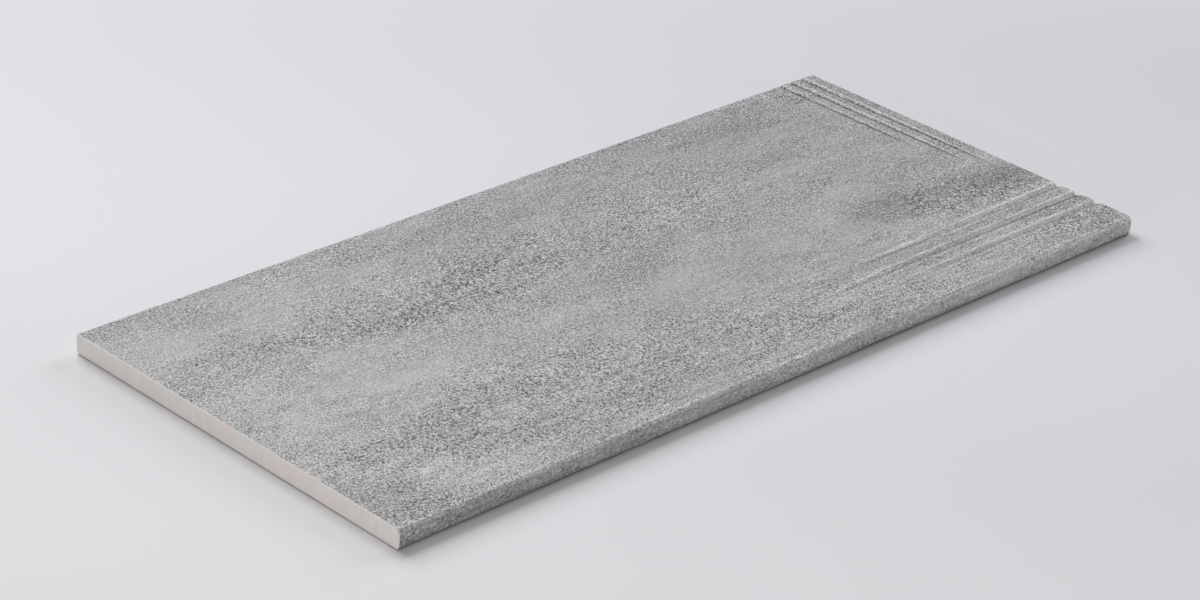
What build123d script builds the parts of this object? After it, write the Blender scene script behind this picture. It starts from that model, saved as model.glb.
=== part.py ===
from build123d import *
from math import cos, radians, sin, tan
import os

# Stair nosing tile: one pressed and fired stoneware slab, grooved against slipping.
# Sizes are in millimetres. X runs along the step, Y goes back from the nosing, Z is up.
# The origin is the middle of the underside.

# Overall sizes
tile_length = 675.0
tread_depth = 300.0
tile_thickness = 14.0

# Long front edge, the nosing: a rounded face that bulges a little between its corners
nose_bulge = 0.4
nose_top_radius = 4.5
nose_bottom_radius = 2.5

# Long back edge and the moulded right end
back_top_radius = 1.8
back_bottom_radius = 3.5
moulded_end_radius = 2.0

# Left end, sawn square through the body, with its arris just broken
sawn_arris = 0.5

# Grooves along the nosing: they enter at the right end and run out along the tread.
# Each is a notch with a steep wall behind, a rounded root and a gentle ramp in front.
nose_groove_first = 32.5
nose_groove_pitch = 17.0
nose_groove_depth = 2.3
nose_groove_wall_angle = 52.0
nose_groove_ramp_angle = 24.0
nose_groove_root_radius = 1.3
nose_groove_full_runs = [120.0, 140.0, 75.0]
nose_groove_fade_runs = [140.0, 150.0, 150.0]

# Grooves along the right end: they enter at the back edge and run out towards the nosing.
# Their steep walls are on the side of the moulded end.
end_groove_first = 13.0
end_groove_pitch = 11.3
end_groove_depth = 1.3
end_groove_wall_angle = 48.0
end_groove_ramp_angle = 26.0
end_groove_root_radius = 1.0
end_groove_full_runs = [60.0, 55.0, 30.0]
end_groove_fade_runs = [140.0, 130.0, 110.0]

# Underside: shallow drafted pockets between lands, which key into the adhesive bed
key_target_pitch = 36.0
key_land = 6.0
key_depth = 0.7
key_draft = 35.0
edge_land = 12.0

# How far a cutting shape reaches past the surface that it opens through
overrun = 10.0

front_y = -tread_depth / 2
back_y = tread_depth / 2
sawn_x = -tile_length / 2
moulded_x = tile_length / 2


def slab_section():
    """Upright section across the tile: nosing in front, the plainer back edge behind."""
    bulge_y = front_y + nose_bulge
    mid_z = tile_thickness / 2
    with BuildSketch(Plane.YZ) as section:
        with BuildLine():
            Line((bulge_y, 0), (back_y, 0))
            Line((back_y, 0), (back_y, tile_thickness))
            Line((back_y, tile_thickness), (bulge_y, tile_thickness))
            ThreePointArc((bulge_y, tile_thickness), (front_y, mid_z), (bulge_y, 0))
        make_face()
        # In the section's own plane, X points back along the tread and Y points up.
        underside = section.vertices().group_by(Axis.Y)[0].sort_by(Axis.X)
        fillet(underside[0], radius=nose_bottom_radius)
        underside = section.vertices().group_by(Axis.Y)[0].sort_by(Axis.X)
        fillet(underside[-1], radius=back_bottom_radius)
        top = section.vertices().group_by(Axis.Y)[-1].sort_by(Axis.X)
        fillet(top[0], radius=nose_top_radius)
        top = section.vertices().group_by(Axis.Y)[-1].sort_by(Axis.X)
        fillet(top[-1], radius=back_top_radius)
    return section.sketch


def slab():
    """The section run along the step, rounded at the moulded end, sharp at the sawn one."""
    bar = Pos(sawn_x, 0, 0) * extrude(slab_section(), amount=tile_length)
    moulded_edges = bar.faces().sort_by(Axis.X)[-1].edges()
    bar = fillet(moulded_edges, radius=moulded_end_radius)
    sawn_edges = bar.faces().sort_by(Axis.X)[0].edges()
    return chamfer(sawn_edges, length=sawn_arris)


def groove_profile(depth, wall_angle, ramp_angle, root_radius):
    """Notch section: Y across the groove with the steep wall at +Y, Z up, root at Y = 0."""
    wall = radians(wall_angle)
    ramp = radians(ramp_angle)
    top_z = overrun
    wall_y = root_radius * sin(wall)
    wall_z = root_radius * (1 - cos(wall)) - depth
    ramp_y = -root_radius * sin(ramp)
    ramp_z = root_radius * (1 - cos(ramp)) - depth
    with BuildSketch(Plane.YZ) as section:
        with BuildLine():
            ThreePointArc((ramp_y, ramp_z), (0, -depth), (wall_y, wall_z))
            wall_top_y = wall_y + (top_z - wall_z) / tan(wall)
            Line((wall_y, wall_z), (wall_top_y, top_z))
            ramp_top_y = ramp_y - (top_z - ramp_z) / tan(ramp)
            Line((wall_top_y, top_z), (ramp_top_y, top_z))
            Line((ramp_top_y, top_z), (ramp_y, ramp_z))
        make_face()
    return section.sketch


def run_out_cutter(profile, depth, full_run, fade_run):
    """A bar of the notch section that cuts a groove along +X from x = 0, in the surface z = 0.

    It lies level over the full run, then rises until it leaves the surface,
    so the groove gets shallower and narrower to a point.
    """
    level = Pos(-overrun, 0, 0) * extrude(profile, amount=overrun + full_run)
    past_fade = fade_run + overrun
    rise = depth * past_fade / fade_run
    rising_way = Vector(past_fade, 0, rise)
    rising = extrude(Pos(full_run, 0, 0) * profile, amount=rising_way.length, dir=rising_way)
    return level + rising


def nose_groove_cutters():
    """Parallel grooves behind the nosing, entered at the moulded end."""
    profile = groove_profile(
        nose_groove_depth,
        nose_groove_wall_angle,
        nose_groove_ramp_angle,
        nose_groove_root_radius,
    )
    # Turned to run towards -X, the steep wall stays at the back.
    profile = mirror(profile, about=Plane.XZ)
    cutters = []
    for index, full_run in enumerate(nose_groove_full_runs):
        cutter = run_out_cutter(profile, nose_groove_depth, full_run, nose_groove_fade_runs[index])
        groove_y = front_y + nose_groove_first + index * nose_groove_pitch
        cutters.append(Pos(moulded_x, groove_y, tile_thickness) * Rot(0, 0, 180) * cutter)
    return cutters


def end_groove_cutters():
    """Parallel grooves beside the moulded end, entered at the back edge."""
    profile = groove_profile(
        end_groove_depth, end_groove_wall_angle, end_groove_ramp_angle, end_groove_root_radius
    )
    cutters = []
    for index, full_run in enumerate(end_groove_full_runs):
        cutter = run_out_cutter(profile, end_groove_depth, full_run, end_groove_fade_runs[index])
        groove_x = moulded_x - end_groove_first - index * end_groove_pitch
        cutters.append(Pos(groove_x, back_y, tile_thickness) * Rot(0, 0, -90) * cutter)
    return cutters


def even_count(span):
    """Even number of pockets nearest to the target pitch, so that a land crosses the middle."""
    return 2 * max(1, round(span / (2 * key_target_pitch)))


def key_pockets():
    """Rows of drafted pockets pressed up into the underside, inside a plain edge land."""
    span_x = tile_length - 2 * edge_land
    span_y = tread_depth - 2 * edge_land
    columns = even_count(span_x)
    rows = even_count(span_y)
    pitch_x = span_x / columns
    pitch_y = span_y / rows
    with BuildPart() as pockets:
        with BuildSketch():
            with GridLocations(pitch_x, pitch_y, columns, rows):
                Rectangle(pitch_x - key_land, pitch_y - key_land)
        extrude(amount=key_depth, taper=key_draft)
    return pockets.solids()


def stair_nosing_tile():
    """The whole fired piece: slab, both sets of grooves and the keyed underside."""
    tile = slab() - nose_groove_cutters() - end_groove_cutters() - key_pockets()
    return tile.solids()[0]


os.makedirs("parts", exist_ok=True)
export_step(stair_nosing_tile(), "parts/stair_nosing_tile.step")
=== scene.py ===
import math

import bpy
import numpy as np
from mathutils import Matrix, Vector
from mathutils.geometry import delaunay_2d_cdt


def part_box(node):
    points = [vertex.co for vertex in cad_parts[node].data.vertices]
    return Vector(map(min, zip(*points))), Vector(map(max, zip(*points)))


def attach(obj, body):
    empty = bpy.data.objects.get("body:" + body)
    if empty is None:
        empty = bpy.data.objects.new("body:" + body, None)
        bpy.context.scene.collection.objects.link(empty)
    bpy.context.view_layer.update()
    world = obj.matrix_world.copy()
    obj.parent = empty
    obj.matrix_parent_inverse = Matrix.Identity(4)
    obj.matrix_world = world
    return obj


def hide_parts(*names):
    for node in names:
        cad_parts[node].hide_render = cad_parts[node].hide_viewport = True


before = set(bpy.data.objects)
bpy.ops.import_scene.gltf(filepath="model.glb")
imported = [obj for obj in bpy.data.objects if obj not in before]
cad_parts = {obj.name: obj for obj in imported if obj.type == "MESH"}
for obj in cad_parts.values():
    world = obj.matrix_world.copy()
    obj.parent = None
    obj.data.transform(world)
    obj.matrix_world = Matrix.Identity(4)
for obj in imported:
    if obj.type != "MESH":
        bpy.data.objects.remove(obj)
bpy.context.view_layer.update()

# Sizes in this script are in millimetres, in the frame's own axes, unless a name says otherwise.
MM = 0.001
tile_low, tile_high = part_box("stair_nosing_tile")
left_x, front_y = tile_low[0] / MM, tile_low[1] / MM
right_x, back_y = tile_high[0] / MM, tile_high[1] / MM
top_z = tile_high[2] / MM
tile_length = right_x - left_x
tread_depth = back_y - front_y

# Edges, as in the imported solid
nose_bulge = 0.4
nose_top_radius = 4.5
nose_bottom_radius = 2.5
# Where the rounding over the nosing is ground to two flats, in degrees round its arc
nose_low_crease = 152.0
nose_high_crease = 122.0
back_top_radius = 1.8
back_bottom_radius = 3.5
moulded_end_reach = 2.0
moulded_end_inset = 1.6
sawn_arris = 0.5

# Grooves: distance of the root line from the edge, then how far it runs at full depth and fades
nose_groove_roots = (32.5, 49.5, 66.5)
nose_groove_full_runs = (120.0, 140.0, 75.0)
nose_groove_fade_runs = (140.0, 150.0, 150.0)
nose_groove_depth = 2.3
nose_groove_wall = math.radians(52.0)
nose_groove_ramp = math.radians(24.0)
nose_groove_root_radius = 1.3
end_groove_roots = (13.0, 24.3, 35.6)
end_groove_full_runs = (60.0, 55.0, 30.0)
end_groove_fade_runs = (140.0, 130.0, 110.0)
end_groove_depth = 1.3
end_groove_wall = math.radians(48.0)
end_groove_ramp = math.radians(26.0)
end_groove_root_radius = 1.0
# Across a groove: where its pale wall starts, worn and brightened with painted light, and where its
# root's painted shade starts and ends
nose_groove_painted_bands = (0.2, -2.9, -0.2)
end_groove_painted_bands = (0.9, -1.7, 0.7)
# How dark the painted shade in the root of each nosing groove is, and how pale the wall of each end
# groove
nose_groove_darkness = (0.75, 1.2, 0.9)
end_groove_paleness = (0.50, 0.45, 0.30)
# How soft the lips are, how far a groove wavers and by what share its depth varies
lip_softness = 0.10
groove_waver = 0.12
groove_unevenness = 0.06
# Where it enters at an edge, a groove is worn deeper by this share
groove_entry_deepening = 0.35

# Faint lines left along the nosing by the pressing die: distance from the nosing,
# where each one starts and ends from the right end, and its strength
die_lines = (
    (16.0, 0, 55, 0.9),
    (21.6, 5, 420, 0.9),
    (26.6, 120, 350, 0.7),
    (32.4, 235, 340, 0.8),
    (42.6, 70, 345, 0.8),
    (48.4, 240, 430, 0.7),
    (60.0, 85, 430, 1.0),
    (69.6, 280, 450, 0.7),
    (73.6, 110, 360, 0.5),
    (58.6, 0, 45, 0.8),
    (11.4, 20, 110, 0.6),
)
die_line_depth = 0.22
die_line_half_width = 0.9
die_line_waver = 0.35

# Underside key pockets
key_columns, key_rows = 18, 8
key_land = 6.0
key_depth = 0.7
key_draft_inset = 0.5
edge_land = 12.0

# Mesh spacing: plain surface, the finer bands that hold the grooves, and the faces out of sight.
# The moulded end's rounding has its own count of rows.
plain_pitch = 1.9
groove_pitch = 0.85
back_face_pitch = 2.2
underside_pitch = 7.5
end_rounding_rows = 5
nose_band = (14.0, 76.0)
end_band = 40.0

# Relief of the fired surface, all of it inwards
swell_cell = 34.0
swell_height = 0.14
grit_cell = 5.2
grit_height = 0.05
crumb_height = 0.20

# Numbers of the tile's materials
glaze_look, sawn_look, bare_look = 0, 1, 2

# How strongly the grit shows: on the plain glaze, what each kind of patch adds, and its limits
plain_grit = 0.90
coarse_grit = 0.32
smooth_grit = -0.34
cloudy_grit = 0.40
wispy_grit = -0.14
weakest_grit, strongest_grit = 0.42, 1.40

# The glaze's tone: what clouds, wisps and smooth patches add, and its fall along and across
cloudy_tone = 0.48
wispy_tone = 0.55
smooth_tone = -0.25
tone_fall_rightwards = 1.7
tone_fall_backwards = 0.7

# Shades of the glaze as it looks on screen, from 0 to 255: the plain glaze, and what is added
glaze_shade = 181.0
tone_shade = 13.0
coarse_shade = 14.0
# The groove walls are pale with wear and with painted light
groove_wall_wear_and_painted_light = 84.0
# The groove roots are darkened with painted shade
groove_root_painted_shade = -64.0
# The die lines get a painted highlight behind them and painted shade in front of them
die_line_painted_light_and_shade = 22.0
# A painted highlight on the flats over the nosing
nosing_flats_painted_highlight = 27.0
# Painted light on the nosing's face, rising towards the right
face_painted_light_rightwards = 27.0
# Painted shade on the nosing's foot where it meets the floor
foot_painted_shade = -92.0
# Painted shade over the lower part of the nosing's face
low_face_painted_shade = -11.0
sawn_corner_shade = -50.0
streak_shade_at_nosing, streak_shade_behind = 78.0, 26.0
darkest_shade, palest_shade = 40.0, 250.0

# Grit in the glaze: the size of its grains and the shade that each kind adds
fine_grit_size, fine_grit_shade = 2.4, 165.0
sand_size, sand_shade = 1.15, 280.0
grain_size, grain_shade = 1.6, 56.0
blotch_size, blotch_shade = 8.0, 38.0
pit_size, pit_shade = 2.2, -52.0
crumb_size, crumb_shade = 2.1, 40.0
glaze_bump = 0.42
# How much of it is lost on the nosing's face and on the groove walls
face_grit = -0.40
groove_wall_grit = -0.30

# Tints of the glaze, and how warm the nosing's face and the moulded end are
cool_tint = (0.990, 0.990, 1.018, 1.0)
neutral_tint = (1.000, 0.995, 1.008, 1.0)
warm_tint = (1.030, 0.996, 0.958, 1.0)
face_warmth = 0.9
moulded_end_warmth = 0.40

# Half the floor's width, in metres
floor_half = 9.0

# The dome's strength, and the soft lamps: name, place and width in metres, watts
world_strength = 0.16
softboxes = (
    ("key_behind", (0.20, 1.62, 1.48), 1.6, 46.0),
    ("side_right", (2.00, 0.30, 1.00), 1.1, 19.0),
    ("low_fill_left", (-2.00, -0.75, 0.26), 1.0, 13.5),
    ("low_fill_front", (1.00, -2.10, 0.26), 1.0, 10.0),
)

# The photograph's view of the tile, in its 1200 by 600 frame
view_azimuth = -46.45
view_elevation = 27.06
view_roll = 4.21
view_distance = 2.312
view_target = Vector((-0.0263, 0.0031, 0.0))
view_focal_pixels = 3557.0
image_width_pixels = 1200
sensor_width_mm = 36.0


def lattice(ix, iy, seed):
    """A repeatable value from 0 to 1 for each whole-numbered lattice point.

    The large odd numbers only scramble the bits.
    """
    h = ix.astype(np.int64) * 374761393 + iy.astype(np.int64) * 668265263 + seed * 1442695041
    h = h & 0xFFFFFFFF
    h = ((h ^ (h >> 13)) * 1274126177) & 0xFFFFFFFF
    h = ((h ^ (h >> 16)) * 2246822519) & 0xFFFFFFFF
    return ((h ^ (h >> 15)) & 0xFFFFFF) / float(0xFFFFFF)


def value_noise(x, y, cell, seed):
    """Smooth noise from -1 to 1 whose bumps are about one cell across."""
    u, v = x / cell, y / cell
    ix, iy = np.floor(u), np.floor(v)
    fu, fv = u - ix, v - iy
    fu, fv = fu * fu * (3 - 2 * fu), fv * fv * (3 - 2 * fv)
    near = lattice(ix, iy, seed) * (1 - fu) + lattice(ix + 1, iy, seed) * fu
    far = lattice(ix, iy + 1, seed) * (1 - fu) + lattice(ix + 1, iy + 1, seed) * fu
    return 2 * (near * (1 - fv) + far * fv) - 1


def line_noise(x, cell, seed):
    """Smooth noise from -1 to 1 that changes along x only."""
    return value_noise(x, np.zeros_like(x), cell, seed)


def layered_noise(x, y, cell, layers, seed):
    """Several sizes of value noise added up, each half as large and half as strong."""
    total, strength, sum_of_strengths = 0.0, 1.0, 0.0
    for layer in range(layers):
        total = total + strength * value_noise(x, y, cell, seed + layer)
        sum_of_strengths += strength
        strength *= 0.5
        cell *= 0.5
    return total / sum_of_strengths


def smooth_step(edge_low, edge_high, value):
    """0 below the low edge, 1 above the high edge and a smooth rise between them."""
    t = np.clip((value - edge_low) / (edge_high - edge_low), 0, 1)
    return t * t * (3 - 2 * t)


# Soft patches of the fired surface: (from the left end, from the back edge, half length,
# half width, strength), lengths in millimetres
coarse_patches = (
    (250, 92, 95, 34, 1.0),
    (170, 100, 60, 26, 0.55),
    (435, 98, 60, 26, 0.55),
    (45, 98, 70, 26, 0.60),
    (185, 222, 60, 30, 0.85),
    (95, 230, 95, 34, 0.60),
    (300, 234, 95, 26, 0.70),
    (45, 222, 60, 18, 0.45),
    (400, 262, 90, 20, 0.40),
    (230, 270, 150, 16, 0.30),
    (580, 192, 60, 24, 0.85),
    (625, 222, 60, 22, 0.70),
    (645, 284, 46, 15, 1.10),
    (630, 18, 26, 16, 0.75),
    (20, 288, 34, 16, 0.70),
    (480, 285, 160, 14, 0.35),
    (120, 268, 150, 24, 0.30),
)
dark_patches = (
    (25, 8, 60, 14, 0.5),
    (430, 30, 190, 24, 0.70),
    (335, 32, 60, 22, 0.35),
    (560, 28, 60, 22, 0.40),
    (0, 276, 45, 22, 0.50),
    (390, 140, 95, 26, 0.40),
    (290, 84, 60, 26, 0.45),
    (555, 188, 55, 18, 2.0),
    (445, 205, 95, 30, 0.15),
    (570, 95, 75, 62, 0.25),
    (648, 202, 40, 16, 2.20),
    (22, 286, 36, 18, 1.10),
    (190, 218, 50, 22, 0.15),
    (660, 240, 20, 60, 0.30),
)
light_patches = (
    (60, 52, 75, 24, 0.25),
    (115, 268, 70, 24, 0.80),
    (450, 96, 55, 30, 0.45),
    (225, 165, 50, 26, 0.35),
    (105, 160, 85, 36, 0.40),
    (25, 150, 40, 110, 0.85),
    (330, 178, 80, 20, 0.20),
    (565, 225, 50, 14, 0.15),
    (190, 222, 60, 26, 0.70),
    (590, 278, 70, 18, 0.70),
)
smooth_patches = (
    (60, 52, 75, 24, 1.2),
    (105, 160, 85, 36, 0.9),
    (445, 205, 95, 30, 1.3),
    (570, 95, 75, 62, 0.7),
    (330, 178, 80, 20, 0.8),
    (330, 45, 150, 18, 0.3),
)


def patch_sum(x, y, patches, seed):
    """How strongly the soft patches cover each point, with ragged outlines."""
    along = x - left_x + 16 * layered_noise(x, y, 38, 3, seed)
    back = back_y - y + 9 * layered_noise(x, y, 30, 3, seed + 7)
    total = np.zeros_like(x)
    for centre_x, centre_y, half_x, half_y, strength in patches:
        spread = ((along - centre_x) / half_x) ** 2 + ((back - centre_y) / half_y) ** 2
        total = total + strength * np.exp(-spread)
    return total


def coarseness(x, y):
    """0 on the smooth glaze, 1 where the grit is coarse and open."""
    ragged = 0.5 + 0.5 * layered_noise(x * 0.7, y, 14, 3, 31)
    return np.clip(patch_sum(x, y, coarse_patches, 3) * (0.25 + 1.5 * ragged), 0, 1)


def wisps(x, y):
    """Thin streaky clouds in the glaze, longer along the step than across it."""
    return layered_noise(x * 0.35, y * 1.1, 24, 4, 81)


def grit_strength(x, y):
    """How strongly the grit stands out: weakest on the smooth glaze, strongest where coarse."""
    cloud = layered_noise(x * 0.6, y * 1.3, 20, 3, 71)
    smooth = patch_sum(x, y, smooth_patches, 19)
    strength = plain_grit + coarse_grit * coarseness(x, y) + smooth_grit * smooth
    strength = strength + cloudy_grit * cloud + wispy_grit * wisps(x, y)
    return np.clip(strength, weakest_grit, strongest_grit)


def tone(x, y):
    """Shade of the glaze: below 0 darker, above 0 lighter. It darkens to the right and back."""
    cloud = layered_noise(x * 0.6, y * 1.5, 46, 4, 11)
    patches = patch_sum(x, y, light_patches, 19) - patch_sum(x, y, dark_patches, 23)
    smooth = patch_sum(x, y, smooth_patches, 19)
    fall = tone_fall_rightwards * x / tile_length + tone_fall_backwards * y / tread_depth
    return patches + smooth_tone * smooth + cloudy_tone * cloud + wispy_tone * wisps(x, y) - fall


def root_height(across, wall, ramp, root_radius):
    """Height of a groove's section over its root; the steep wall is at positive across."""
    wall_from, ramp_from = root_radius * math.sin(wall), root_radius * math.sin(ramp)
    inside = np.sqrt(np.maximum(root_radius**2 - np.clip(across, -root_radius, root_radius) ** 2, 0))
    on_root = root_radius - inside
    on_wall = root_radius * (1 - math.cos(wall)) + (across - wall_from) * math.tan(wall)
    on_ramp = root_radius * (1 - math.cos(ramp)) + (-across - ramp_from) * math.tan(ramp)
    return np.where(across > wall_from, on_wall, np.where(across < -ramp_from, on_ramp, on_root))


def one_groove(across, along, depth, full_run, fade_run, wall, ramp, root_radius, painted_bands, seed):
    """Depth cut, and how far each point is pale wall or dark root, for one groove.

    The painted bands say where the pale wall starts, worn and brightened with painted light, and where
    the painted shade of the root starts and ends.
    """
    pale_from, dark_from, dark_to = painted_bands
    across = across + groove_waver * line_noise(along, 40, seed)
    still_deep = 1 - np.clip((along - full_run) / fade_run, 0, 1)
    here = depth * still_deep * (1 + groove_unevenness * line_noise(along, 13, seed + 1))
    here = here * (1 + groove_entry_deepening * (1 - smooth_step(2, 14, along)))
    height = root_height(across, wall, ramp, root_radius)
    # The lips are softened, and the softening itself vanishes where the groove runs out
    cut = lip_softness * np.logaddexp(0, (here - height) / lip_softness)
    cut = cut * smooth_step(0, 0.25 * depth, here)
    # The wall's painted light reaches past the lip, onto the lit top, and ends with the groove
    present = smooth_step(0, 0.4, still_deep)
    lip = here / math.tan(wall)
    on_wall = smooth_step(pale_from - 0.5, pale_from + 0.5, across)
    on_wall = on_wall * (1 - smooth_step(lip + pale_from + 0.8, lip + pale_from + 1.5, across))
    # The painted shade in the root fades in over the ramp and ends before the wall
    on_root = smooth_step(dark_from - 1.2, dark_from, across)
    on_root = on_root * (1 - smooth_step(dark_to - 0.8, dark_to, across))
    return cut, on_wall * present, on_root * present


def grooves(x, y):
    """All the grooves at each point of the top: depth cut, wall share and root share."""
    from_nosing, from_end, from_back = y - front_y, right_x - x, back_y - y
    cut, wall, root = np.zeros_like(x), np.zeros_like(x), np.zeros_like(x)
    for index, root_at in enumerate(nose_groove_roots):
        one = one_groove(
            from_nosing - root_at, from_end, nose_groove_depth,
            nose_groove_full_runs[index], nose_groove_fade_runs[index],
            nose_groove_wall, nose_groove_ramp, nose_groove_root_radius,
            nose_groove_painted_bands, 101 + 10 * index,
        )
        cut = cut + one[0]
        # Their paint weakens away from the end, and again where they run out
        running_out = 0.45 * smooth_step(170, 270, from_end)
        paleness = 1 - 0.35 * smooth_step(20, 160, from_end) - running_out
        darkness = 1 - 0.30 * smooth_step(15, 90, from_end) - running_out
        wall = np.maximum(wall, one[1] * paleness)
        root = np.maximum(root, one[2] * nose_groove_darkness[index] * darkness)
    for index, root_at in enumerate(end_groove_roots):
        one = one_groove(
            root_at - from_end, from_back, end_groove_depth,
            end_groove_full_runs[index], end_groove_fade_runs[index],
            end_groove_wall, end_groove_ramp, end_groove_root_radius,
            end_groove_painted_bands, 201 + 10 * index,
        )
        paleness = end_groove_paleness[index]
        cut, wall, root = cut + one[0], np.maximum(wall, paleness * one[1]), np.maximum(root, one[2])
    return cut, wall, root


def die_marks(x, y):
    """The faint lines along the nosing: depth cut, and light (+) and dark (-) share."""
    from_nosing, from_end = y - front_y, right_x - x
    cut, shade = np.zeros_like(x), np.zeros_like(x)
    for index, (line_at, starts, ends, strength) in enumerate(die_lines):
        waver = die_line_waver * line_noise(x, 31, 301 + index)
        across = (from_nosing - line_at + waver) / die_line_half_width
        broken = 0.75 + 0.5 * line_noise(x, 17, 341 + index)
        begun = smooth_step(starts - 20, starts + 20, from_end)
        ended = smooth_step(ends - 70, ends, from_end)
        shown = strength * begun * (1 - ended) * np.clip(broken, 0.2, 1.2)
        cut = cut + die_line_depth * shown * np.exp(-(across**2))
        # Painted highlight just behind each line and painted shade just in front of it
        lit, shaded = np.exp(-((across - 0.7) ** 2)), np.exp(-((across + 1.3) ** 2))
        shade = shade + shown * (lit - 0.8 * shaded)
    return cut, shade


def arc(centre_y, centre_z, radius, angle_from, angle_to, count):
    """Points and outward normals round an arc, its ends included. Angles in degrees."""
    angles = np.radians(np.linspace(angle_from, angle_to, count))
    normals = np.stack([np.cos(angles), np.sin(angles)], 1)
    return normals * radius + (centre_y, centre_z), normals


def flat(start, end, count):
    """Points from start to end, less the start, and their normals."""
    start, end = np.array(start), np.array(end)
    way = (end - start) / np.linalg.norm(end - start)
    steps = np.linspace(0, 1, count + 1)[1:, None]
    return start + steps * (end - start), np.tile((-way[1], way[0]), (count, 1))


def stations(start, stop, pitch):
    """Evenly spaced values from start to stop, both included, at about the pitch."""
    return np.linspace(start, stop, max(2, round(abs(stop - start) / pitch) + 1))


def edge_outline():
    """Outline from under the nosing, up and over the top, to under the back edge.

    Returns (y, z) points, their outward normals and the numbers of the points on a crease.
    """
    half = top_z / 2
    bulge_radius = (half**2 + nose_bulge**2) / (2 * nose_bulge)
    bulge_y = front_y + bulge_radius

    def fillet_centre(radius, centre_z):
        reach = math.sqrt((bulge_radius - radius) ** 2 - (centre_z - half) ** 2)
        turn = math.degrees(math.atan2(centre_z - half, -reach)) % 360
        return bulge_y - reach, turn

    low_z, high_z = nose_bottom_radius, top_z - nose_top_radius
    low_y, low_turn = fillet_centre(nose_bottom_radius, low_z)
    high_y, high_turn = fillet_centre(nose_top_radius, high_z)
    under_nose = arc(low_y, low_z, nose_bottom_radius, 270, low_turn, 5)
    nose = [row[1:-1] for row in arc(bulge_y, half, bulge_radius, low_turn, high_turn, 5)]
    over_nose = arc(high_y, high_z, nose_top_radius, high_turn, nose_low_crease, 4)
    creases = arc(high_y, high_z, nose_top_radius, nose_low_crease, nose_high_crease, 2)[0]
    lower_flat = flat(creases[0], creases[1], 3)
    upper_flat = flat(creases[1], (high_y, top_z), 4)
    # The upper flat's last point already belongs to the level top
    upper_flat[1][-1] = (0.0, 1.0)
    band_low, band_high = front_y + nose_band[0], front_y + nose_band[1]
    last_y = back_y - back_top_radius
    across = np.concatenate([
        stations(high_y, band_low, plain_pitch)[1:-1],
        stations(band_low, band_high, groove_pitch),
        stations(band_high, last_y, plain_pitch)[1:-1],
    ])
    top = (
        np.stack([across, np.full_like(across, top_z)], 1),
        np.tile((0.0, 1.0), (len(across), 1)),
    )
    over_back = arc(last_y, top_z - back_top_radius, back_top_radius, 90, 0, 5)
    back_z = stations(top_z - back_top_radius, back_bottom_radius, back_face_pitch)[1:-1]
    back = (
        np.stack([np.full_like(back_z, back_y), back_z], 1),
        np.tile((1.0, 0.0), (len(back_z), 1)),
    )
    under_back = arc(back_y - back_bottom_radius, back_bottom_radius, back_bottom_radius, 0, -90, 6)
    parts = [under_nose, nose, over_nose, lower_flat, upper_flat, top, over_back, back, under_back]
    points, normals = np.concatenate([p[0] for p in parts]), np.concatenate([p[1] for p in parts])
    # The creases run along the last points of the rounding over the nosing and of the lower flat
    low_crease = len(under_nose[0]) + len(nose[0]) + len(over_nose[0]) - 1
    return points, normals, (low_crease, low_crease + len(lower_flat[0]))


def lengthways_stations():
    """Places along X, with the inset that each end's rounding or arris gives there."""
    flat_from, flat_to = left_x + sawn_arris, right_x - moulded_end_reach
    middle = np.concatenate([
        stations(flat_from, right_x - end_band, plain_pitch)[:-1],
        stations(right_x - end_band, flat_to, groove_pitch),
    ])
    turns = np.radians(np.linspace(0, 90, end_rounding_rows + 1)[1:])
    rounded = flat_to + moulded_end_reach * np.sin(turns)
    places = np.concatenate([[left_x], middle, rounded])
    insets = np.concatenate([
        [sawn_arris], np.zeros(len(middle)), moulded_end_inset * (1 - np.cos(turns)),
    ])
    return places, insets


def relief(x, y):
    """Depth of the fired surface's own unevenness below the moulded form."""
    swell = 0.5 + 0.5 * layered_noise(x, y, swell_cell, 2, 41)
    grit = 0.5 + 0.5 * layered_noise(x, y, grit_cell, 2, 51)
    crumbs = 0.5 + 0.5 * layered_noise(x, y, grit_cell * 0.8, 2, 61)
    return swell_height * swell + grit_height * grit + crumb_height * coarseness(x, y) * crumbs


def pocket_corners(inset):
    """Corners of every key pocket, four to a pocket, drawn in by an inset."""
    pitch_x = (tile_length - 2 * edge_land) / key_columns
    pitch_y = (tread_depth - 2 * edge_land) / key_rows
    half_x, half_y = (pitch_x - key_land) / 2 - inset, (pitch_y - key_land) / 2 - inset
    corners = []
    for row in range(key_rows):
        for column in range(key_columns):
            x = (column - (key_columns - 1) / 2) * pitch_x
            y = (row - (key_rows - 1) / 2) * pitch_y
            corners += [
                (x - half_x, y - half_y), (x + half_x, y - half_y),
                (x + half_x, y + half_y), (x - half_x, y + half_y),
            ]
    return corners


def filled(outline, holes=()):
    """Triangles that fill a closed outline of 2-D points, less four-cornered holes.

    Returns index triples into outline followed by the holes' corners.
    """
    points = [Vector(p) for p in outline] + [Vector(p) for p in holes]
    count = len(outline)
    rings = [list(range(count))] + [list(range(i, i + 4)) for i in range(count, len(points), 4)]
    edges = [(ring[k], ring[(k + 1) % len(ring)]) for ring in rings for k in range(len(ring))]
    _, _, faces, origins, _, _ = delaunay_2d_cdt(points, edges, [rings[0]], 1, 1e-5)
    triangles = []
    for face in faces:
        corners = [origins[v][0] for v in face]
        if min(corners) >= count and len({(c - count) // 4 for c in corners}) == 1:
            continue
        triangles.append(corners)
    return triangles


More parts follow.
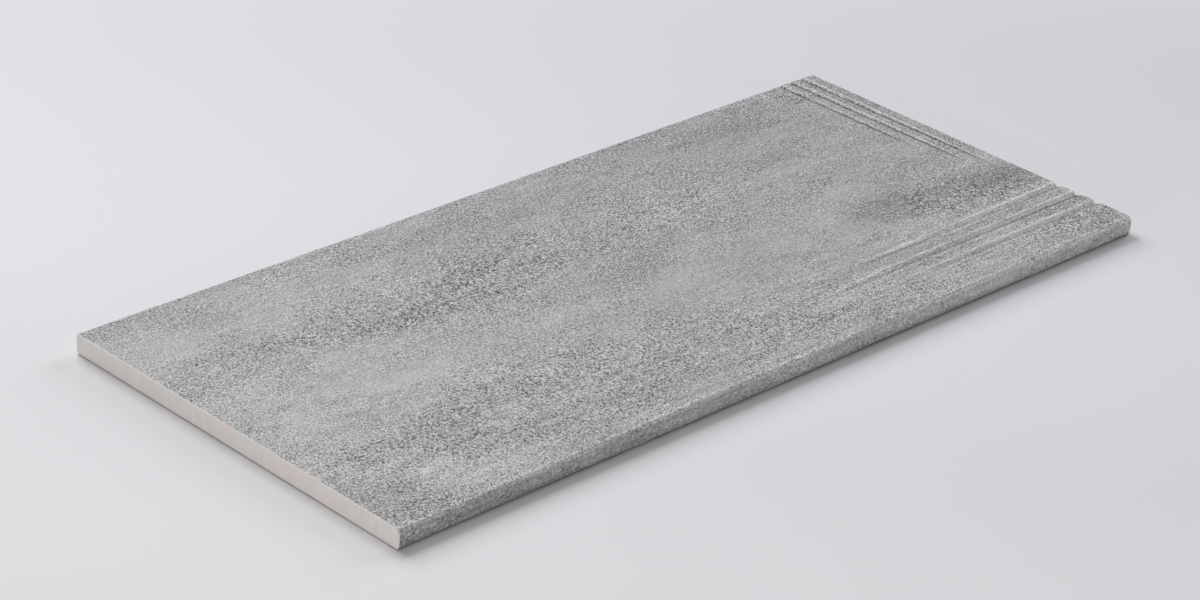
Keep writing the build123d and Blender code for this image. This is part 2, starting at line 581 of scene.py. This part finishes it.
def fired_surface(places, insets, outline, normals):
    """Points of the moulded, grooved and fired surface, and the paint on each of them.

    They make a grid: rows along the step, each one the whole outline.
    """
    shape = (len(places), len(outline))
    x = np.repeat(places, len(outline)).reshape(shape)
    y = outline[None, :, 0] - normals[None, :, 0] * insets[:, None]
    z = outline[None, :, 1] - normals[None, :, 1] * insets[:, None]

    # What the grooves, the die's lines and the firing take away from the moulded form
    cut, wall, root = grooves(x, y)
    marks, mark_painted_light_and_shade = die_marks(x, y)
    cut = cut + marks * (1 - np.clip(cut / 0.4, 0, 1))
    in_groove = np.clip(cut / 0.5, 0, 1)
    seated = smooth_step(0.3, 2.5, z)
    at_ends = smooth_step(0, 3, x - left_x)
    sunk = relief(x, y) * seated * (1 - 0.75 * in_groove) * (0.25 + 0.75 * at_ends)
    y = y - normals[None, :, 0] * sunk
    z = z - normals[None, :, 1] * sunk
    z = np.minimum(z, top_z - sunk - cut)

    over_top = smooth_step(0.90, 0.99, normals[:, 1])
    paint = {
        "groove_wall": wall * over_top,
        "groove_root": root * over_top,
        "die_marks": mark_painted_light_and_shade * over_top,
    }
    return np.stack([x, y, z], 2), paint


def pocket_faces(mouth_start, floor_start, corner_count):
    """The sloping sides and the floor of every key pocket."""
    faces = []
    for start in range(0, corner_count, 4):
        low = [mouth_start + start + k for k in range(4)]
        high = [floor_start + start + k for k in range(4)]
        faces += [(low[k], high[k], high[(k + 1) % 4], low[(k + 1) % 4]) for k in range(4)]
        faces.append(tuple(high[::-1]))
    return faces


def closed_body(grid, places, insets, outline):
    """The fired surface closed by its ends and its underside: points, faces and their looks."""
    n_x, n_out = grid.shape[:2]
    verts = grid.reshape(-1, 3)
    number = np.arange(n_x * n_out).reshape(n_x, n_out)

    # The flat underside's rows of points, where it turns up at an end
    first_flat, last_flat = 1, n_x - 1 - end_rounding_rows
    under_rows = [0, first_flat] + list(range(last_flat, n_x))
    under_y = stations(outline[-1, 0], outline[0, 0], underside_pitch)[1:-1]
    under_number = {}
    extra = []
    for row in under_rows:
        under_number[row] = len(verts) + len(extra) + np.arange(len(under_y))
        extra += [(places[row], value, insets[row]) for value in under_y]
    verts = np.concatenate([verts, np.array(extra)])

    faces, looks = [], []

    def strip(row_a, row_b, look):
        for k in range(len(row_a) - 1):
            faces.append((row_a[k], row_b[k], row_b[k + 1], row_a[k + 1]))
            looks.append(look)

    for i in range(n_x - 1):
        strip(number[i], number[i + 1], glaze_look if i else sawn_look)

    def under_line(row):
        return np.concatenate([[number[row][-1]], under_number[row], [number[row][0]]])

    for i in [0] + list(range(last_flat, n_x - 1)):
        strip(under_line(i), under_line(i + 1), bare_look if i else sawn_look)

    # Both end faces
    for row, look, turned in ((0, sawn_look, False), (n_x - 1, glaze_look, True)):
        ring = np.concatenate([number[row], under_number[row]])
        for triangle in filled([(verts[v][1], verts[v][2]) for v in ring]):
            corners = [int(ring[v]) for v in triangle]
            faces.append(tuple(corners if turned else corners[::-1]))
            looks.append(look)

    # The underside, with its pockets
    front = [number[i][0] for i in range(first_flat, last_flat + 1)]
    back = [number[i][-1] for i in range(last_flat, first_flat - 1, -1)]
    ring = np.concatenate([front, under_number[last_flat][::-1], back, under_number[first_flat]])
    mouths = pocket_corners(0)
    floors = pocket_corners(key_draft_inset)
    mouth_start = len(verts)
    floor_start = mouth_start + len(mouths)
    verts = np.concatenate([
        verts,
        np.array([(x, y, 0.0) for x, y in mouths]),
        np.array([(x, y, key_depth) for x, y in floors]),
    ])
    index = [int(v) for v in ring] + list(range(mouth_start, floor_start))
    around = [(verts[v][0], verts[v][1]) for v in ring]
    under = [tuple(index[v] for v in triangle[::-1]) for triangle in filled(around, mouths)]
    under += pocket_faces(mouth_start, floor_start, len(mouths))
    return verts, faces + under, looks + [bare_look] * len(under)


def build_tile():
    """The whole fired piece as one closed mesh."""
    places, insets = lengthways_stations()
    outline, normals, creases = edge_outline()
    grid, paint = fired_surface(places, insets, outline, normals)
    verts, faces, looks = closed_body(grid, places, insets, outline)

    mesh = bpy.data.meshes.new("fired_tile")
    mesh.from_pydata((verts * MM).tolist(), [], [tuple(int(v) for v in f) for f in faces])
    mesh.polygons.foreach_set("material_index", looks)
    mesh.update()
    add_attributes(mesh, verts, paint)
    mesh.shade_smooth()
    mesh.set_sharp_from_angle(angle=math.radians(38))
    mark_creases(mesh, creases, len(places), len(outline))

    tile = bpy.data.objects.new("fired_tile", mesh)
    bpy.context.collection.objects.link(tile)
    return tile


def add_attributes(mesh, verts, paint):
    """Store what the glaze is made from at each point; paint covers the grid's points only."""
    stored = {
        "coarse": coarseness(verts[:, 0], verts[:, 1]),
        "grit": grit_strength(verts[:, 0], verts[:, 1]),
        "tone": tone(verts[:, 0], verts[:, 1]),
    }
    for name, grid in paint.items():
        stored[name] = np.zeros(len(verts))
        stored[name][: grid.size] = grid.reshape(-1)
    for name, values in stored.items():
        attribute = mesh.attributes.new(name, "FLOAT", "POINT")
        attribute.data.foreach_set("value", values.astype(np.float32))


def mark_creases(mesh, creases, n_x, n_out):
    """Make the edges sharp that run lengthways along each crease point of the outline."""
    ends = np.zeros(2 * len(mesh.edges), dtype=np.int64)
    mesh.edges.foreach_get("vertices", ends)
    ends = ends.reshape(-1, 2)
    for crease in creases:
        on_crease = (ends < n_x * n_out).all(1) & (ends % n_out == crease).all(1)
        for edge in np.flatnonzero(on_crease):
            mesh.edges[int(edge)].use_edge_sharp = True


class Nodes:
    """Short names for building a material's node tree."""

    def __init__(self, name):
        self.material = bpy.data.materials.new(name)
        self.material.use_nodes = True
        self.tree = self.material.node_tree
        self.tree.nodes.clear()
        self.output = self.tree.nodes.new("ShaderNodeOutputMaterial")

    def add(self, kind, **settings):
        node = self.tree.nodes.new(kind)
        for name, value in settings.items():
            setattr(node, name, value)
        return node

    def put(self, socket, value):
        if isinstance(value, bpy.types.NodeSocket):
            self.tree.links.new(value, socket)
        else:
            socket.default_value = value

    def position(self, scale=(1, 1, 1)):
        """Place on the object in millimetres, stretched by a scale."""
        place = self.add("ShaderNodeTexCoord")
        stretch = self.add("ShaderNodeMapping")
        self.put(stretch.inputs["Vector"], place.outputs["Object"])
        self.put(stretch.inputs["Scale"], tuple(s / MM for s in scale))
        return stretch.outputs["Vector"]

    def axes(self):
        """Place on the object along X, Y and Z, in millimetres."""
        split = self.add("ShaderNodeSeparateXYZ")
        self.put(split.inputs["Vector"], self.position())
        return split.outputs["X"], split.outputs["Y"], split.outputs["Z"]

    def noise(self, cell, detail=3.0, roughness=0.55, stretch=(1, 1, 1), lacunarity=2.0):
        node = self.add("ShaderNodeTexNoise")
        self.put(node.inputs["Vector"], self.position(stretch))
        self.put(node.inputs["Scale"], 1 / cell)
        self.put(node.inputs["Detail"], detail)
        self.put(node.inputs["Roughness"], roughness)
        self.put(node.inputs["Lacunarity"], lacunarity)
        return node.outputs["Fac"]

    def cells(self, cell, feature="F1", randomness=1.0, stretch=(1, 1, 1)):
        node = self.add("ShaderNodeTexVoronoi", feature=feature)
        self.put(node.inputs["Vector"], self.position(stretch))
        self.put(node.inputs["Scale"], 1 / cell)
        self.put(node.inputs["Randomness"], randomness)
        return node

    def attribute(self, name):
        node = self.add("ShaderNodeAttribute", attribute_name=name)
        return node.outputs["Fac"]

    def math(self, operation, a, b=0.0, c=0.0):
        node = self.add("ShaderNodeMath", operation=operation)
        for socket, value in zip(node.inputs, (a, b, c)):
            self.put(socket, value)
        return node.outputs["Value"]

    def plus(self, total, share, amount):
        """The total with a share of an amount added to it."""
        return self.math("MULTIPLY_ADD", share, amount, total)

    def ramp(self, value, low, high, to_low=0.0, to_high=1.0):
        node = self.add("ShaderNodeMapRange", interpolation_type="SMOOTHSTEP")
        for name, number in (
            ("Value", value), ("From Min", low), ("From Max", high),
            ("To Min", to_low), ("To Max", to_high),
        ):
            self.put(node.inputs[name], number)
        return node.outputs["Result"]

    def mix(self, factor, a, b, blend="MIX"):
        node = self.add("ShaderNodeMix", data_type="RGBA", blend_type=blend)
        self.put(node.inputs["Factor"], factor)
        self.put(node.inputs[6], a)
        self.put(node.inputs[7], b)
        return node.outputs[2]

    def finish(self, colour, roughness, height=None, bump_mm=0.3, bump_strength=1.0, specular=0.4):
        shader = self.add("ShaderNodeBsdfPrincipled")
        self.put(shader.inputs["Base Color"], colour)
        self.put(shader.inputs["Roughness"], roughness)
        shader.inputs["Specular IOR Level"].default_value = specular
        if height is not None:
            bump = self.add("ShaderNodeBump")
            bump.inputs["Distance"].default_value = bump_mm * MM
            bump.inputs["Strength"].default_value = bump_strength
            self.put(bump.inputs["Height"], height)
            self.put(shader.inputs["Normal"], bump.outputs["Normal"])
        self.put(self.output.inputs["Surface"], shader.outputs["BSDF"])
        return self.material


def linear(red, green, blue):
    """A colour given as it looks on screen, from 0 to 255, as the shader wants it."""
    def one(value):
        value /= 255
        return value / 12.92 if value <= 0.04045 else ((value + 0.055) / 1.055) ** 2.4
    return (one(red), one(green), one(blue), 1.0)


def glaze_material():
    """Matt grey glaze full of grit, with coarse open patches and pale, worn groove walls.

    The shade is worked out as it looks on screen, from 0 to 255, and turned linear last; it carries
    painted light and painted shade.
    """
    n = Nodes("gritty_glaze")
    coarse, shade, strength = n.attribute("coarse"), n.attribute("tone"), n.attribute("grit")
    wall, root = n.attribute("groove_wall"), n.attribute("groove_root")
    marks = n.attribute("die_marks")
    x, y, z = n.axes()

    # 1 on the face of the nosing, 0 on the top
    in_front = n.ramp(y, front_y + 1.4, front_y + 2.2, 1.0, 0.0)
    on_face = n.math("MULTIPLY", in_front, n.ramp(z, 12.6, 13.2, 1.0, 0.0))

    # Sandy grit: ragged noise, separate grains and wider blotches, each with how much it shows
    fine = n.noise(fine_grit_size, detail=3.0, roughness=0.82)
    sand = n.noise(sand_size, detail=1.0)
    grains = n.cells(grain_size).outputs["Distance"]
    blotches = n.noise(blotch_size, detail=2.0, stretch=(0.75, 1.1, 1.0))
    grit = n.math("MULTIPLY", n.math("SUBTRACT", fine, 0.5), fine_grit_shade)
    grit = n.plus(grit, n.math("SUBTRACT", sand, 0.5), sand_shade)
    grit = n.plus(grit, n.math("SUBTRACT", 0.47, grains), grain_shade)
    grit = n.plus(grit, n.math("SUBTRACT", blotches, 0.5), blotch_shade)
    grit = n.math("MULTIPLY", grit, n.plus(1.0, on_face, face_grit))

    # Pits and pale crumbs crowd together where the glaze is coarse
    opened = n.math("MULTIPLY", coarse, 0.12)
    pits = n.noise(pit_size, detail=2.0, roughness=0.7)
    pits = n.ramp(n.math("ADD", pits, opened), 0.61, 0.68)
    crumbs = n.noise(crumb_size, detail=2.0, roughness=0.7, stretch=(1.0, 1.03, 1.0), lacunarity=2.2)
    crumbs = n.ramp(n.math("ADD", crumbs, opened), 0.63, 0.70)
    grit = n.plus(grit, pits, pit_shade)
    grit = n.plus(grit, crumbs, crumb_shade)
    worn = n.plus(1.0, wall, groove_wall_grit)
    grit = n.math("MULTIPLY", grit, n.math("MULTIPLY", strength, worn))

    streaks = n.noise(5.0, detail=3.0, roughness=0.65, stretch=(0.09, 1.0, 1.0))
    streak_shade = n.ramp(
        y, front_y + 55.0, front_y + 115.0, streak_shade_at_nosing, streak_shade_behind
    )
    level = n.plus(glaze_shade, n.math("SUBTRACT", streaks, 0.5), streak_shade)
    level = n.plus(level, shade, tone_shade)
    level = n.plus(level, wall, groove_wall_wear_and_painted_light)
    level = n.plus(level, coarse, coarse_shade)
    level = n.plus(level, root, groove_root_painted_shade)
    level = n.plus(level, marks, die_line_painted_light_and_shade)
    level = n.math("ADD", level, grit)

    # The flats over the nosing get a painted highlight, and its face painted light that rises to the
    # right;
    # its foot and lower face get painted shade, and its sawn corner holds dirt
    over_nosing = n.ramp(y, front_y + 3.0, front_y + 5.5, 1.0, 0.0)
    highlighted_flats = n.math("MULTIPLY", n.ramp(z, 11.1, 11.6), over_nosing)
    level = n.plus(level, highlighted_flats, nosing_flats_painted_highlight)
    rightwards = n.plus(-0.05, x, 2.0 / tile_length)
    # Painted light: the face grows paler towards the right
    level = n.plus(level, n.math("MULTIPLY", rightwards, on_face), face_painted_light_rightwards)
    # Painted shade on the foot, where the tile meets the floor
    level = n.math("ADD", level, n.ramp(z, 0.3, 2.4, foot_painted_shade, 0.0))
    # Painted shade over the lower face, fading upwards
    level = n.math("ADD", level, n.ramp(z, 2.3, 9.0, low_face_painted_shade, 0.0))
    corner = n.math("MULTIPLY", n.ramp(x, left_x + 0.4, left_x + 1.4, 1.0, 0.0), on_face)
    level = n.plus(level, corner, sawn_corner_shade)

    level = n.math("MINIMUM", n.math("MAXIMUM", level, darkest_shade), palest_shade)
    brightness = n.math("POWER", n.math("DIVIDE", level, 255.0), 2.2)
    # Cool on the smooth glaze, warm on the nosing's face and towards the moulded end
    hue = n.math("ADD", n.ramp(n.noise(70.0, detail=2.0), 0.42, 0.66), coarse)
    tint = n.mix(n.math("MINIMUM", hue, 1.0), cool_tint, neutral_tint)
    warmth = n.ramp(x, right_x - 95.0, right_x - 5.0, 0.0, moulded_end_warmth)
    warmth = n.math("MAXIMUM", warmth, n.math("MULTIPLY", on_face, face_warmth))
    tint = n.mix(warmth, tint, warm_tint)
    colour = n.mix(brightness, (0.0, 0.0, 0.0, 1.0), tint)

    height = n.math("MULTIPLY", grit, 1.0 / 60.0)
    roughness = n.ramp(fine, 0.35, 0.65, 0.74, 0.60)
    return n.finish(colour, roughness, height, bump_mm=glaze_bump)


def sawn_body_material():
    """Bare buff stoneware where the saw went through, with faint upright saw lines."""
    n = Nodes("sawn_stoneware")
    z = n.axes()[2]
    lines = n.noise(3.2, detail=3.0, roughness=0.6, stretch=(1.0, 1.0, 0.10))
    clouds = n.noise(34.0, detail=2.0, roughness=0.5)
    grain = n.noise(0.7, detail=2.0, roughness=0.6)
    colour = n.mix(n.ramp(lines, 0.30, 0.70), linear(229, 222, 216), linear(234, 228, 223))
    colour = n.mix(n.ramp(clouds, 0.4, 0.6, 0.0, 0.5), colour, linear(234, 224, 217))
    colour = n.mix(n.ramp(grain, 0.62, 0.75, 0.0, 0.25), colour, linear(170, 162, 154))
    # The top arris is paler, and the bottom one is darkened with painted shade where it meets the floor
    colour = n.mix(n.ramp(z, top_z - 1.1, top_z - 0.6), colour, linear(238, 234, 230))
    colour = n.mix(n.ramp(z, 0.3, 1.0, 0.85, 0.0), colour, linear(128, 112, 98))
    height = n.math("MULTIPLY_ADD", lines, 0.6, n.math("MULTIPLY", grain, 0.4))
    return n.finish(colour, 0.78, height, bump_mm=0.10, bump_strength=0.6, specular=0.25)


def underside_material():
    """Bare fired body under the tile, dusted with pale kiln wash."""
    n = Nodes("bare_underside")
    blotches = n.noise(26.0, detail=4.0, roughness=0.6)
    grain = n.noise(1.1, detail=3.0, roughness=0.65)
    colour = n.mix(n.ramp(blotches, 0.35, 0.68), linear(190, 178, 164), linear(208, 199, 188))
    colour = n.mix(n.ramp(grain, 0.55, 0.75, 0.0, 0.5), colour, linear(160, 148, 134))
    return n.finish(colour, 0.85, grain, bump_mm=0.18, bump_strength=0.7, specular=0.2)


def floor_material():
    """Pale studio floor, a little bluer to the right and greyer away from the camera."""
    n = Nodes("studio_floor")
    place = n.add("ShaderNodeTexCoord")
    split = n.add("ShaderNodeSeparateXYZ")
    n.put(split.inputs["Vector"], place.outputs["Object"])
    x, y = split.outputs["X"], split.outputs["Y"]
    # In metres over the floor: to the right and somewhat back, then straight from the camera
    rightwards = n.plus(x, y, 0.55)
    colour = n.mix(n.ramp(rightwards, -0.75, 1.0), linear(243, 243, 246), linear(244, 245, 252))
    # Painted shade: the floor is painted greyer away from the camera, where its light falls off
    away = n.plus(n.math("MULTIPLY", x, 0.73), y, 0.68)
    paleness = n.ramp(away, -0.20, 0.56, 1.0, 0.705)
    paleness = n.math("MULTIPLY", paleness, n.ramp(away, -0.42, -0.15, 1.0, 0.895))
    colour = n.mix(paleness, (0.0, 0.0, 0.0, 1.0), colour)
    return n.finish(colour, 0.9, specular=0.1)


def build_floor():
    """A wide level square for the tile to stand on."""
    corners = [(-1, -1), (1, -1), (1, 1), (-1, 1)]
    mesh = bpy.data.meshes.new("studio_floor")
    mesh.from_pydata([(floor_half * x, floor_half * y, 0) for x, y in corners], [], [(0, 1, 2, 3)])
    floor = bpy.data.objects.new("studio_floor", mesh)
    floor.data.materials.append(floor_material())
    bpy.context.collection.objects.link(floor)


def softbox(name, place, size, watts):
    """A square soft lamp that looks at the middle of the tile."""
    lamp = bpy.data.lights.new(name, "AREA")
    lamp.shape = "SQUARE"
    lamp.size = size
    lamp.energy = watts
    box = bpy.data.objects.new(name, lamp)
    box.location = place
    box.rotation_mode = "QUATERNION"
    box.rotation_quaternion = (-Vector(place)).to_track_quat("-Z", "Y")
    bpy.context.collection.objects.link(box)


def light_studio():
    """A faint white dome and the soft lamps."""
    world = bpy.data.worlds.new("studio")
    world.use_nodes = True
    tree = world.node_tree
    background = tree.nodes["Background"]
    background.inputs["Color"].default_value = (1.0, 1.0, 1.0, 1.0)
    background.inputs["Strength"].default_value = world_strength
    bpy.context.scene.world = world
    for name, place, size, watts in softboxes:
        softbox(name, place, size, watts)


def place_camera():
    """The photograph's camera."""
    azimuth, elevation = math.radians(view_azimuth), math.radians(view_elevation)
    back = Vector((
        math.sin(azimuth) * math.cos(elevation),
        -math.cos(azimuth) * math.cos(elevation),
        math.sin(elevation),
    ))
    data = bpy.data.cameras.new("camera")
    data.sensor_width = sensor_width_mm
    data.lens = view_focal_pixels * sensor_width_mm / image_width_pixels
    data.clip_end = 100
    camera = bpy.data.objects.new("camera", data)
    turn = (-back).to_track_quat("-Z", "Y").to_matrix()
    roll = Matrix.Rotation(math.radians(view_roll), 3, "Z")
    camera.matrix_world = Matrix.Translation(view_target + back * view_distance) @ (turn @ roll).to_4x4()
    bpy.context.collection.objects.link(camera)
    bpy.context.scene.camera = camera


tile = build_tile()
for material in (glaze_material(), sawn_body_material(), underside_material()):
    tile.data.materials.append(material)
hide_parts("stair_nosing_tile")
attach(tile, "root")
build_floor()
light_studio()
place_camera()
bpy.context.scene.view_settings.view_transform = "Standard"
